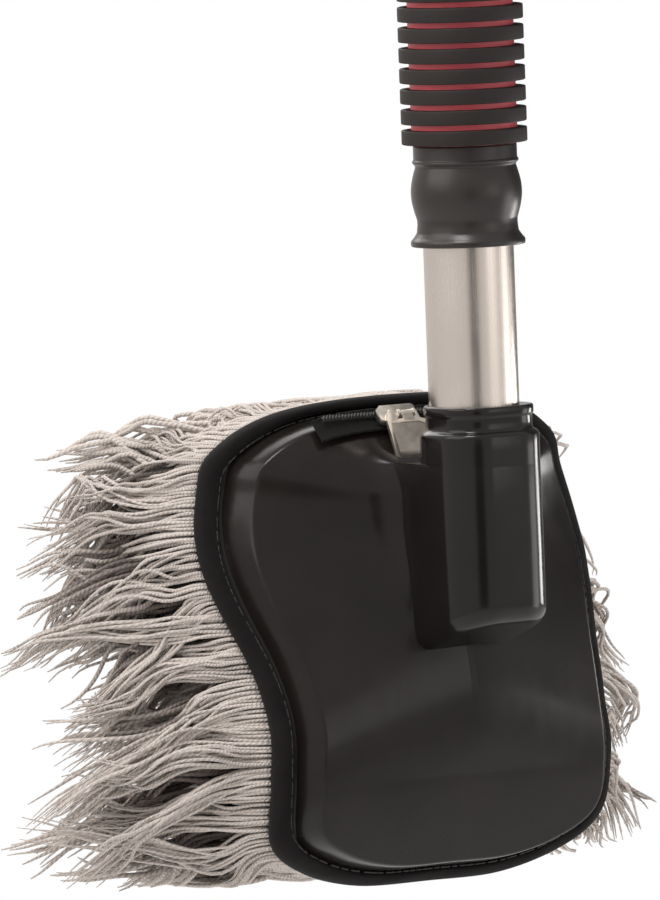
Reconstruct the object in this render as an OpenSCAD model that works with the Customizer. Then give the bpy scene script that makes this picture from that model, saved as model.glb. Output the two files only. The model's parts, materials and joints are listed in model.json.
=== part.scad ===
// Hand mop with a strand cover, a moulded head and a telescopic handle with a twist lock.
// Frame: +Z up the handle, the head's face looks along -Y, the strands point along +Y,
// and the origin is the middle of the hang hole. Each module is written from z = 0, near
// the head's lowest point, and place() moves it to the frame.

/* [Handle tubes] */
// Outer radius of the inner tube
tube_r = 13.6; // [13.5:0.05:13.65]
// Wall of the inner tube
tube_wall = 0.7; // [0.6:0.05:0.8]
// Outer radius of the outer tube
outer_tube_r = 14.55; // [14.5:0.05:14.6]
// Wall of the outer tube
outer_tube_wall = 0.6; // [0.55:0.01:0.62]
// Height of the top end of the inner tube, as stored
tube_top = 276; // [250:1:280]

/* [Grip] */
// Number of black rings on the grip
ring_count = 20; // [6:1:20]
// Distance from one ring to the next
ring_pitch = 6.15; // [5.5:0.05:6.4]
// Height of one ring
ring_h = 4.5; // [3.5:0.1:5]
// Outer radius of a ring
ring_r = 18.9; // [17.5:0.1:20]
// Outer radius of the red core
core_r = 15.95; // [15.4:0.05:16.2]

/* [Lock collar] */
// Height of the collar's lower edge
collar_low = 192; // [188:1:194]
// Height of the collar
collar_h = 30.4; // [30:0.1:31]
// Radius of the collar's barrel
barrel_r = 16.7; // [16.4:0.1:18]

/* [Socket] */
// Half the width of the socket's body
socket_r = 17; // [16.8:0.1:18]
// How far the socket's front stands before the handle's axis
socket_front = 18.5; // [18:0.1:19.5]
// Height of the socket's shoulder
shoulder_z = 136; // [133:0.5:138]
// Height of the socket's mouth
mouth_z = 144; // [142:0.5:146]
// Height of the top of the web that joins the socket to the head
web_top = 127; // [122:0.5:128]

/* [Head] */
// Width of the head at the rim
head_w = 140; // [130:1:150]
// Height of the head at the rim
head_h = 145.3; // [145:0.1:145.6]
// Height of the head's lowest point
head_low = -0.5; // [-0.8:0.1:-0.2]
// How far the rim lies behind the handle's axis on average
rim_mid = 36; // [35.5:0.5:36.5]
// Height of the wave that the rim follows, seen from the side
rim_wave = 12.5; // [11:0.5:13]
// Rise of the wall beside the flange
wall_rise = 10; // [9:0.5:11]
// Wall thickness of the head shell
shell_wall = 2; // [1.6:0.1:2.2]

/* [Strands] */
// Distance from the rim back to the strands' tips
pile_depth = 66; // [50:1:70]
// How much wider the skirt of strands is than the rim
skirt_spread = 1.66; // [1.3:0.01:1.7]

/* [Hidden] */
ring_names = [for (i = [1:ring_count]) str("grip_ring_", i < 10 ? "0" : "", i)];
$fn = 96;

small = 0.05;             // gap between pieces that are fixed to each other
big = 400;                // longer than anything it cuts
outer_bore = outer_tube_r - outer_tube_wall;
inner_bore = tube_r - tube_wall;

grip_low = collar_low + collar_h + 0.2;
grip_top = grip_low + ring_count * ring_pitch;
cap_h = 28;               // height of the end cap above the grip
cap_plug_h = 7;           // depth of the cap's plug in the outer tube
hang_r = 4;               // radius of the hang hole
hang_z = grip_top + 16;   // height of the hang hole
hang_tab = 12;            // thickness of the cap at the hang hole

socket_corner = 13;       // radius of the socket's front corners
neck_step = 0.2;          // step from the web's block to the body above it
socket_low = 62;          // below the web's slanted lower end
front_end_z = 80;         // height of the slanted end at the socket's front
end_slope = 19;           // slope of the slanted end, in degrees
bore_low = 86;            // bottom of the socket's bore
back_y = 24;              // the web's back plane, at the height back_z
back_z = 69;
back_slope = 14;          // slope of the web's back plane, in degrees
boss_r = 4;
boss_at = [[-10, 80], [10, 80], [-10, 116], [10, 116]];
screw_r = 1.45;
screw_hole_r = 1.5;

// Half of the rim's outline, from the bottom to the top: share of the half width, share of the height
half_outline = [[0, 0], [0.352, 0.003], [0.638, 0.038], [0.836, 0.104], [0.866, 0.23], [0.854, 0.355],
    [0.886, 0.475], [0.952, 0.6], [0.974, 0.705], [0.931, 0.828], [0.86, 0.91], [0.55, 0.981], [0, 1]];
last = len(half_outline) - 1;
corners = concat(half_outline, [for (i = [last - 1:-1:1]) [-half_outline[i].x, half_outline[i].y]]);
smooth_steps = 2;
rim_tuck = 0.0004;        // how the rim's lower end comes forward
spine_low = 40;           // the rings of the head close in on a line between these two heights
spine_top = 112;
flange_k = 0.92;          // share of the outline where the flange ends
wall_k = 0.85;            // share of the outline where the wall ends

function curve(a, b, c, d, t) =
    0.5 * (2 * b + (c - a) * t + (2 * a - 5 * b + 4 * c - d) * t * t + (3 * b - a - 3 * c + d) * t * t * t);
outline = [for (i = [0:len(corners) - 1], s = [0:smooth_steps - 1])
    let (n = len(corners),
         p = curve(corners[(i + n - 1) % n], corners[i], corners[(i + 1) % n], corners[(i + 2) % n],
                   s / smooth_steps))
    [p.x * head_w / 2, p.y * head_h + head_low]];

function rim_y(z) = rim_mid - rim_wave * cos(2.25 * (z - 42)) - rim_tuck * pow(max(0, 120 - z), 2);
function spine(z) = min(max(z, spine_low), spine_top);
function ease(t) = let (u = min(max(t, 0), 1)) u * u * (3 - 2 * u);
function crown(z) = max(3, 5 + 0.26 * (z - spine_low));
function dome(k, z) = wall_rise * ease((flange_k - k) / (flange_k - wall_k))
    + crown(z) * (1 - pow(min(k / 0.9, 1), 1.3));
// One closed loop: kx and kz scale the outline, dome_k picks the height on the dome, back moves it along +Y
function loop(kx, kz, back, dome_k = 1) = [for (p = outline)
    let (z = spine(p.y) + (p.y - spine(p.y)) * kz)
    [p.x * kx, rim_y(z) - dome(dome_k, z) + back, z]];

module place() translate([0, 0, -hang_z]) children();

// A closed skin over loops; each end is closed straight across, from the loop's right side to its left
module skin(loops) {
    n = len(loops[0]);
    m = len(loops);
    h = n / 2;
    sides = [for (r = [0:m - 2], i = [0:n - 1]) let (j = (i + 1) % n)
        each [[r * n + i, r * n + j, (r + 1) * n + j], [r * n + i, (r + 1) * n + j, (r + 1) * n + i]]];
    front = concat([[0, n - 1, 1], [h - 1, h + 1, h]],
        [for (i = [1:h - 2]) each [[i, n - i, n - i - 1], [i, n - i - 1, i + 1]]]);
    end = (m - 1) * n;
    back = [for (f = front) [end + f[0], end + f[2], end + f[1]]];
    polyhedron([for (l = loops) each l], concat(sides, front, back), 4);
}

// A closed ring of loops, joined from the last back to the first
module skin_ring(loops) {
    n = len(loops[0]);
    m = len(loops);
    polyhedron([for (l = loops) each l],
        [for (r = [0:m - 1], i = [0:n - 1]) let (j = (i + 1) % n, q = (r + 1) % m)
            each [[r * n + i, r * n + j, q * n + j], [r * n + i, q * n + j, q * n + i]]], 4);
}

module pipe(r_out, r_in, low, top) translate([0, 0, low]) difference() {
    cylinder(r = r_out, h = top - low);
    translate([0, 0, -1]) cylinder(r = r_in, h = top - low + 2);
}

module end_cap() color("#241f1f") place() {
    difference() {
        rotate_extrude() polygon(concat(
            [[0, grip_top + small], [ring_r, grip_top + small]],
            [for (a = [0:7.5:90]) [ring_r * pow(cos(a), 0.5), grip_top + 9 + (cap_h - 9) * sin(a)]]));
        for (side = [-1, 1]) translate([-50, side > 0 ? hang_tab / 2 : -50 - hang_tab / 2, grip_top + 8])
            cube([100, 50, 50]);
        translate([0, 0, hang_z]) rotate([90, 0, 0]) cylinder(r = hang_r, h = 60, center = true);
    }
    translate([0, 0, grip_top - cap_plug_h]) cylinder(r = outer_bore - small, h = cap_plug_h + 1);
}

module outer_tube() color("#b9b1aa") place()
    pipe(outer_tube_r, outer_bore, collar_low + 17, grip_top - 0.2);

module grip_core() color("#b44a55") place()
    pipe(core_r, outer_tube_r + small, grip_low, grip_top - 0.1);

module grip_ring(i) color("#332a28") place() {
    low = grip_low + (i - 1) * ring_pitch;
    soft = 0.8; // rounding of the ring's outer edges
    translate([0, 0, low]) rotate_extrude() polygon([[core_r + small, 0], [ring_r - soft, 0],
        [ring_r - 0.25, 0.3], [ring_r, soft + 0.2], [ring_r, ring_h - soft - 0.2],
        [ring_r - 0.25, ring_h - 0.3], [ring_r - soft, ring_h], [core_r + small, ring_h]]);
}

module lock_ferrule() color("#8b8683") place()
    pipe(15, outer_tube_r + small, collar_low + 18, collar_low + 24);

module lock_collet() color("#d8d4cc") place() difference() {
    translate([0, 0, collar_low + 10.8]) rotate_extrude()
        polygon([[tube_r + 0.05, 0], [14.5, 0], [14.9, 2], [14.9, 6], [tube_r + 0.05, 6]]);
    translate([0, -0.6, collar_low]) cube([30, 1.2, 40]);
}

module lock_collar() color("#2b2626") place() translate([0, 0, collar_low]) difference() {
    rotate_extrude() polygon(concat(
        [[0, 0], [17, 0], [17.2, 0.5], [17.2, 1.6], [16.2, 2.6], [15.2, 4], [15.05, 6.5]],
        [for (a = [-60:10:60]) [15.1 + (barrel_r - 15.1) * cos(a * 1.5), 16 + 8 * a / 60]],
        [[15.5, 24.6], [16, 25], [16, 25.6], [15.6, 26], [15.6, collar_h - 0.4], [15.3, collar_h],
         [0, collar_h]]));
    translate([0, 0, -1]) cylinder(r = tube_r + 0.2, h = 50);
    translate([0, 0, -1]) cylinder(r = 15, h = 3.6);
    translate([0, 0, 10.5]) cylinder(r = 15.08, h = 14);
    translate([0, 0, 10.5]) cylinder(r = outer_tube_r + 0.1, h = 50);
}

module wiper_ring() color("#3a3636") place()
    pipe(15 - small, tube_r + 0.05, collar_low + 0.2, collar_low + 2.4);

module guide_bush() color("#e0ddd6") place() {
    pipe(outer_bore - 0.04, 9, tube_top, tube_top + 14);
    pipe(inner_bore - 0.04, 9, tube_top - 14, tube_top + 0.5);
}

module inner_tube() color("#cfc6be") place() difference() {
    pipe(tube_r, inner_bore, bore_low + 0.2, tube_top - 0.2);
    translate([0, 0, 108]) rotate([-90, 0, 0]) cylinder(r = screw_hole_r, h = 30);
}

module tube_plug() color("#3a3636") place()
    translate([0, 0, bore_low + 0.3]) difference() {
        cylinder(r = inner_bore - small, h = 8);
        translate([0, 0, 2]) cylinder(r = inner_bore - 2, h = 8);
    }

module tube_screw() color("#c9c5c0") place() translate([0, 0, 108]) rotate([-90, 0, 0]) {
    translate([0, 0, inner_bore - 1.5]) cylinder(r = screw_r, h = 7);
    translate([0, 0, socket_r + 0.3]) difference() {
        cylinder(r = 2.9, h = 2);
        translate([0, 0, 1]) cylinder(r = 1.3, h = 2, $fn = 6);
    }
}

// The socket from above: a flattened front with round corners, and a round back; grow moves its edge outwards
module socket_shape(grow = 0) hull() {
    circle(r = socket_r + grow);
    for (x = [-1, 1]) translate([x * (socket_r - socket_corner), socket_corner - socket_front])
        circle(r = socket_corner + grow);
}

// The socket's lower body, with straight sides back into the head and a slanted end
module socket_block(grow = 0) difference() {
    translate([0, 0, socket_low]) linear_extrude(web_top + grow - socket_low) union() {
        socket_shape(grow);
        translate([-socket_r - grow, 0]) square([2 * (socket_r + grow), 60]);
    }
    translate([0, -socket_front, front_end_z - grow]) rotate([-end_slope, 0, 0])
        translate([-big / 2, -big / 2, -big]) cube([big, big, big]);
}

// The socket above the web: shoulder, neck and lip, as steps of height above the shoulder and growth
module socket_neck() {
    steps = [[web_top - shoulder_z - 1, -neck_step], [-0.8, -neck_step], [0.2, -1.1], [1, -2.2], [4.8, -2.2],
             [5.4, -1.7], [mouth_z - shoulder_z - 0.5, -1.7], [mouth_z - shoulder_z, -2]];
    for (i = [0:len(steps) - 2]) hull() for (s = [steps[i], steps[i + 1]])
        translate([0, 0, shoulder_z + s[0]]) linear_extrude(0.02) socket_shape(s[1]);
}

// Everything behind the web's back plane
module behind_web() translate([0, back_y, back_z]) rotate([-back_slope, 0, 0])
    translate([-big / 2, 0, -big / 2]) cube([big, big, big]);

module handle_socket() color("#2a2524") place() difference() {
    union() {
        difference() {
            socket_block();
            behind_web();
            difference() {
                translate([-14.6, socket_r + 2, 77]) cube([29.2, 60, 45.5]);
                for (p = boss_at) translate([p.x, 0, p.y]) rotate([-90, 0, 0]) cylinder(r = boss_r, h = 80);
            }
        }
        socket_neck();
    }
    translate([0, 0, bore_low]) cylinder(r = tube_r + small, h = 80);
    translate([0, 10, 108]) rotate([-90, 0, 0]) cylinder(r = screw_hole_r, h = 30);
    translate([0, socket_r + 0.2, 108]) rotate([-90, 0, 0]) cylinder(r = 3.1, h = 30);
    for (p = boss_at) translate([p.x, back_y + (p.y - back_z) * tan(back_slope) - 8, p.y])
        rotate([-90, 0, 0]) cylinder(r = screw_hole_r, h = 20);
}

module head_shell() color("#2d2826") place() difference() {
    skin(concat(
        [for (k = [0.08, 0.2, 0.35, 0.5, 0.65, 0.77, 0.85, 0.885, 0.92, 1]) loop(k, k, 0, k)],
        [for (k = [1, 0.92, 0.885, 0.85, 0.77, 0.65, 0.5, 0.35, 0.2, 0.08])
            let (q = k == 1 ? 1 : k - 0.03 * min(1, k / 0.5)) loop(q, q, shell_wall, k)]));
    socket_block(0.15);
}

module plate_body() skin(concat(
    [for (k = [0.1, 0.5, 0.8, 0.97]) loop(k, k, shell_wall + 0.2)],
    [for (k = [0.97, 0.8, 0.5, 0.1]) loop(k, k, shell_wall + 2.6)]));

module base_plate() color("#3b3634") place() difference() {
    union() {
        plate_body();
        difference() {
            for (p = boss_at) translate([p.x, 10, p.y]) rotate([-90, 0, 0])
                cylinder(r = boss_r, h = rim_y(p.y) + shell_wall + 1.3 - 10);
            translate([0, back_y + 0.1, back_z]) rotate([-back_slope, 0, 0])
                translate([-big / 2, -big, -big / 2]) cube([big, big, big]);
        }
    }
    for (p = boss_at) {
        translate([p.x, 0, p.y]) rotate([-90, 0, 0]) cylinder(r = screw_hole_r, h = 90);
        translate([p.x, rim_y(p.y) + shell_wall + 0.4, p.y]) rotate([-90, 0, 0]) cylinder(r = 3.1, h = 20);
    }
}

module plate_screws() color("#c9c5c0") place() for (p = boss_at)
    translate([p.x, rim_y(p.y) + shell_wall + 0.45, p.y]) rotate([90, 0, 0]) difference() {
        union() {
            cylinder(r = screw_r, h = rim_y(p.y) - back_y - (p.y - back_z) * tan(back_slope) + 8);
            translate([0, 0, -1.4]) cylinder(r = 3, h = 1.4);
        }
        translate([0, 0, -2]) cylinder(r = 1.2, h = 1.2, $fn = 6);
    }

module foam_pad() color("#8f8a86") place() {
    front = shell_wall + 3.4;
    skin(concat([for (k = [0.1, 0.5, 0.8, 0.95]) loop(k, k, front)],
        [for (s = [[0.96, 2.4], [0.945, 5.8], [0.9, 8], [0.78, 9.8], [0.5, 10.9], [0.1, 11.2]])
            loop(s[0], s[0], front + s[1])]));
}

module mop_backing() color("#b8aea8") place() skin_ring(
    [for (s = [[0.1, 16.9], [0.5, 16.6], [0.8, 15.5], [0.92, 13.6], [0.965, 11.4], [0.98, 8], [0.98, 5.4],
               [0.995, 5.4], [1.0, 8], [0.985, 12], [0.94, 15], [0.8, 17], [0.5, 18.1], [0.1, 18.4]])
        loop(s[0], s[0], s[1])]);

module cover_binding() color("#1d1a1a") place() skin_ring(
    [for (s = [[0.925, -0.15], [0.93, -1.4], [0.97, -1.9], [1.005, -1.2], [1.025, 0.6], [1.03, 2.6],
               [1.02, 4.6], [0.985, 5.2], [0.985, 4.6], [1.004, 3.2], [1.004, -0.15]])
        loop(s[0], s[0], s[1])]);

zip_foot = [32.5, 139.6]; // where the zip stands on the head's slope: its Y and its height
zip_slope = 43.8;         // lean of the slope there
zip_from = -34;           // ends of the chain along X
zip_to = 15;
chain_lift = 2;           // distance of the chain from the slope
slider_x = -6.2;          // where the slider stands, closed
pull_lift = 4.9;          // distance of the pull's hinge from the slope
pull_drop = 2.9;          // and how far down the slope it stands
pull_y = zip_foot[0] - pull_drop * sin(zip_slope) - pull_lift * cos(zip_slope);
pull_z = zip_foot[1] - pull_drop * cos(zip_slope) + pull_lift * sin(zip_slope);
pull_lean = 24.6;         // the pull rests on the head at this angle

// Turns the slope's own axes into the head's: X along the zip, -Y away from the slope, Z up it
module on_slope() translate([0, zip_foot[0], zip_foot[1]]) rotate([-zip_slope, 0, 0]) children();

// The tape is a band on the head's top edge; its upper hem stands free of the head
module zip_tape() color("#1d1a1a") place() {
    at = [for (i = [0:10]) zip_from - 2 + i * (zip_to - zip_from + 2) / 10];
    section = [[-0.4, -5.2], [-1, -5.2], [-1, 3], [-0.4, 3]];
    n = len(section);
    points = [for (x = at, s = section)
        [x, zip_foot[0] + s[0] * cos(zip_slope) + s[1] * sin(zip_slope),
         zip_foot[1] - s[0] * sin(zip_slope) + s[1] * cos(zip_slope) - 1.2 * pow(x / 31, 4)]];
    sides = [for (r = [0:len(at) - 2], i = [0:n - 1]) let (j = (i + 1) % n)
        each [[r * n + i, (r + 1) * n + j, r * n + j], [r * n + i, (r + 1) * n + i, (r + 1) * n + j]]];
    polyhedron(points, concat(sides, [[for (i = [0:n - 1]) i]],
        [[for (i = [n - 1:-1:0]) (len(at) - 1) * n + i]]), 4);
}

module zip_chain() color("#2a2626") place() on_slope() translate([zip_from, -chain_lift, 0])
    rotate([0, 90, 0]) cylinder(r = 0.85, h = zip_to - zip_from - 0.2, $fn = 48);

module zip_slider_body() color("#c4bdb2") place() on_slope() translate([slider_x, 0, 0]) {
    difference() {
        translate([0, -1.4, 0]) rotate([90, 0, 0]) linear_extrude(2.2) polygon([[-8.8, -3.4], [-7.2, -4.5],
            [4.4, -4.5], [5.4, -3.8], [5.4, 1], [4.4, 1.7], [-6.8, 1.7], [-8.8, 0.2]]);
        translate([0, -chain_lift, 0]) rotate([0, 90, 0]) cylinder(r = 1.1, h = 20, center = true, $fn = 48);
    }
    for (x = [-3.1, 2.1]) translate([x, -pull_lift, -pull_drop]) difference() {
        union() {
            rotate([0, 90, 0]) cylinder(r = 1.15, h = 1, $fn = 48);
            translate([0, 0, -1]) cube([1, pull_lift - 3.4, 2]);
        }
        translate([-1, 0, 0]) rotate([0, 90, 0]) cylinder(r = 0.65, h = 4, $fn = 48);
    }
}

module zip_pull_tab() color("#d2cbc0") place()
    translate([slider_x, pull_y, pull_z]) rotate([-pull_lean, 0, 0]) difference() {
        union() {
            rotate([0, 90, 0]) translate([0, 0, -3]) cylinder(r = 0.6, h = 6, $fn = 48);
            translate([-1.2, -0.6, -2.4]) cube([2.4, 1.2, 2.8]);
            translate([0, 0.6, 0]) rotate([90, 0, 0]) linear_extrude(1.2) polygon([[-7.8, -13.6],
                [-6.8, -14.8], [6.8, -14.8], [7.8, -13.6], [7.8, -3.6], [6.9, -2.8], [3.8, -1.9],
                [-3.8, -1.9], [-3.8, 0.7], [-4.5, 1.3], [-6, 1.3], [-7.8, -1]]);
        }
        translate([0, -0.3, 0]) rotate([90, 0, 0]) linear_extrude(2) polygon([[-6.6, -12.4],
            [6.6, -12.4], [6.6, -4.4], [3.4, -3.2], [-6.6, -3.2]]);
    }

module strand_skirt() color("#c8beb9") place() skin_ring(
    [for (s = [[1.04, 1.02, 6.5], [1.25, 1.06, 14], [0.96 * skirt_spread, 1.1, 36],
               [skirt_spread, 1.15, 52], [1.35, 1.08, pile_depth - 1], [1.14, 1, pile_depth - 4],
               [1.12, 1, 24], [1.05, 1, 10]])
        loop(s[0], s[1], s[2])]);

module strand_pile() color("#bdb2ac") place() skin(
    [for (s = [[0.1, 0.1, 18.8], [0.5, 0.5, 18.5], [0.8, 0.8, 17.5], [0.95, 0.95, 17], [1.08, 0.97, 24],
               [1.1, 0.97, pile_depth - 6], [0.9, 0.85, pile_depth], [0.4, 0.4, pile_depth],
               [0.1, 0.1, pile_depth]])
        loop(s[0], s[1], s[2])]);

end_cap();
outer_tube();
grip_core();
for (i = [1:ring_count]) grip_ring(i);
lock_ferrule();
lock_collet();
lock_collar();
wiper_ring();
guide_bush();
inner_tube();
tube_plug();
tube_screw();
handle_socket();
head_shell();
base_plate();
plate_screws();
foam_pad();
mop_backing();
cover_binding();
zip_tape();
zip_chain();
zip_slider_body();
zip_pull_tab();
strand_skirt();
strand_pile();
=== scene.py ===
"""Looks for the hand mop: glossy head, cotton strands, steel tube and ribbed grip.

Shapes are in mm above the head's lowest point, and to_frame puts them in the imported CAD's own frame.
"""
import json
import math

import bpy
import bmesh
import numpy as np
from mathutils import Matrix, Vector


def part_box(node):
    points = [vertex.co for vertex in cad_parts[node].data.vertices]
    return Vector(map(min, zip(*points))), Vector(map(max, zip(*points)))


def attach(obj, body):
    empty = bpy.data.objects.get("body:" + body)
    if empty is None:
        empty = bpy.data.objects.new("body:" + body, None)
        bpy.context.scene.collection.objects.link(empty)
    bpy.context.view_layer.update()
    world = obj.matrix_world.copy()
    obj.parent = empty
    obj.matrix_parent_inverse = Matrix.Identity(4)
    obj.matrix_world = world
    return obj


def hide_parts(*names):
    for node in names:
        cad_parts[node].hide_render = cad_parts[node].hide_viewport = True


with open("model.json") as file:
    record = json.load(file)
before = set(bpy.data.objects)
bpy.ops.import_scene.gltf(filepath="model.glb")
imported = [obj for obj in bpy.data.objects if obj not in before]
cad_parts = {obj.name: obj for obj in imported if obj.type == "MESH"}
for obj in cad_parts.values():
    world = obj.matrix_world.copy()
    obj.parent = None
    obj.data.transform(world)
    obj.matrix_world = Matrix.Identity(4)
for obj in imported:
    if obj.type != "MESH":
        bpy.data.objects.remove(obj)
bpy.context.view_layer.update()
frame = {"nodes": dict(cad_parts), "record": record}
NODES = frame["nodes"]

MM = 0.001
HEAD_W, HEAD_H, HEAD_LOW = 140, 145.3, -0.5     # the head's size and the height of its lowest point, in mm
HEAD_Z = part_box("head_shell")[0].z - HEAD_LOW * MM  # where z = 0 of the CAD source lies in the row frame
LOWER = "lower_stage"

# ---------------------------------------------------------------- camera, floor and light

CAM_AZ, CAM_EL, CAM_ROLL = -35, 4.0, -2.1    # degrees
CAM_DISTANCE = 6.0
VIEW_HEIGHT = 0.270                          # height of the frame at the handle's axis, in metres
AIM_RISE, AIM_LEFT = 0.1319, 0.0437          # the view's middle, above z = 0 of the head and left of the axis
SENSOR = 36


def direction(azimuth, elevation):
    """The way from the object to a place at an azimuth and elevation in degrees. Azimuth 0 is the front."""
    a, e = math.radians(azimuth), math.radians(elevation)
    return Vector((math.sin(a) * math.cos(e), -math.cos(a) * math.cos(e), math.sin(e)))


towards_camera = direction(CAM_AZ, CAM_EL)
aim = Vector((0, 0, HEAD_Z + AIM_RISE)) - direction(CAM_AZ + 90, 0) * AIM_LEFT

camera = bpy.data.objects.new("photo_camera", bpy.data.cameras.new("photo_camera"))
bpy.context.scene.collection.objects.link(camera)
camera.data.sensor_width = SENSOR
camera.data.lens = SENSOR * CAM_DISTANCE / VIEW_HEIGHT
camera.location = aim + towards_camera * CAM_DISTANCE
camera.rotation_mode = "QUATERNION"
camera.rotation_quaternion = ((-towards_camera).to_track_quat("-Z", "Y")
                              @ Matrix.Rotation(math.radians(CAM_ROLL), 4, "Z").to_quaternion())
camera.data.clip_start, camera.data.clip_end = 0.05, 40
bpy.context.scene.camera = camera


def area_light(name, azimuth, elevation, distance, size, power, color=(1, 1, 1), look=(0, 0, -0.22)):
    """A soft box that lights the point look from a distance. Lengths are in metres, power in watts."""
    way = direction(azimuth, elevation)
    data = bpy.data.lights.new(name, "AREA")
    data.shape, data.size, data.size_y = "RECTANGLE", size[0], size[1]
    data.energy, data.color = power, color
    lamp = bpy.data.objects.new(name, data)
    bpy.context.scene.collection.objects.link(lamp)
    lamp.location = Vector(look) + way * distance
    lamp.visible_camera = False
    lamp.rotation_mode = "QUATERNION"
    lamp.rotation_quaternion = (-way).to_track_quat("-Z", "Y")


# the world's dark gaps: azimuth, elevation, angle to the outer edge and to the core, light outside and in it
DARK_GAPS = ((-27, -4, 16.3, 6.8, (0.69, 0.05)), (108, 18, 42, 24, (1.0, 0.15)))
FLOOR_REACH, FLOOR_DROP = 2.1, 0.30          # half the floor's width, and how far it lies below the head


def build_world():
    """Soft light all round with two dark gaps, which glossy parts mirror. The camera sees plain white."""
    world = bpy.data.worlds.new("studio")
    bpy.context.scene.world = world
    world.use_nodes = True
    nt = world.node_tree
    nt.nodes.clear()
    out = nt.nodes.new("ShaderNodeOutputWorld")
    seen, soft = nt.nodes.new("ShaderNodeBackground"), nt.nodes.new("ShaderNodeBackground")
    seen.inputs["Color"].default_value = (1, 1, 1, 1)
    seen.inputs["Strength"].default_value = 1.0
    soft.inputs["Color"].default_value = (1.0, 0.975, 0.95, 1)
    place = nt.nodes.new("ShaderNodeTexCoord")
    total = nt.nodes.new("ShaderNodeMath")
    total.operation = "MULTIPLY"
    for i, (azimuth, rise, edge, core, levels) in enumerate(DARK_GAPS):
        gap, shade = nt.nodes.new("ShaderNodeVectorMath"), nt.nodes.new("ShaderNodeMapRange")
        gap.operation = "DOT_PRODUCT"
        gap.inputs[1].default_value = direction(azimuth, rise)
        nt.links.new(place.outputs["Generated"], gap.inputs[0])
        for socket, value in (("From Min", math.cos(math.radians(edge))),
                              ("From Max", math.cos(math.radians(core))),
                              ("To Min", levels[0]), ("To Max", levels[1])):
            shade.inputs[socket].default_value = value
        nt.links.new(gap.outputs["Value"], shade.inputs["Value"])
        nt.links.new(shade.outputs["Result"], total.inputs[i])
    nt.links.new(total.outputs[0], soft.inputs["Strength"])
    path, mix = nt.nodes.new("ShaderNodeLightPath"), nt.nodes.new("ShaderNodeMixShader")
    nt.links.new(path.outputs["Is Camera Ray"], mix.inputs["Fac"])
    nt.links.new(soft.outputs[0], mix.inputs[1])
    nt.links.new(seen.outputs[0], mix.inputs[2])
    nt.links.new(mix.outputs[0], out.inputs["Surface"])


def build_lights():
    area_light("key_left", -100, 38, 1.5, (1.5, 1.3), 11.5, (1, 0.97, 0.94))
    area_light("strip_right", 22, 0, 1.0, (0.44, 0.3), 0.42, (1, 0.97, 0.94), (0, 0, -0.10))
    area_light("side_right", 66, 0, 0.95, (0.36, 0.4), 1.0, (1, 0.98, 0.96), (0, 0, -0.44))
    area_light("socket_glint", 92, 0, 0.35, (0.08, 0.09), 0.2, (1, 0.98, 0.96), (0, 0, HEAD_Z + 0.085))
    area_light("top", -60, 66, 1.0, (0.3, 0.3), 3.6)
    area_light("back_fill", 165, 40, 1.5, (1.3, 1.1), 11, (1, 0.98, 0.96))
    view = bpy.context.scene.view_settings
    view.view_transform, view.look, view.exposure = "Standard", "None", 0.0


def build_floor():
    floor_mesh = bpy.data.meshes.new("floor")
    reach, low = FLOOR_REACH, HEAD_Z - FLOOR_DROP
    floor_mesh.from_pydata([(-reach, -reach, low), (reach, -reach, low), (reach, reach, low),
                            (-reach, reach, low)], [], [(0, 1, 2, 3)])
    floor = bpy.data.objects.new("floor", floor_mesh)
    bpy.context.scene.collection.objects.link(floor)
    floor_mesh.materials.append(make_material("floor_white", (0.8, 0.8, 0.8), 0.9))


# ---------------------------------------------------------------- materials

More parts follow.
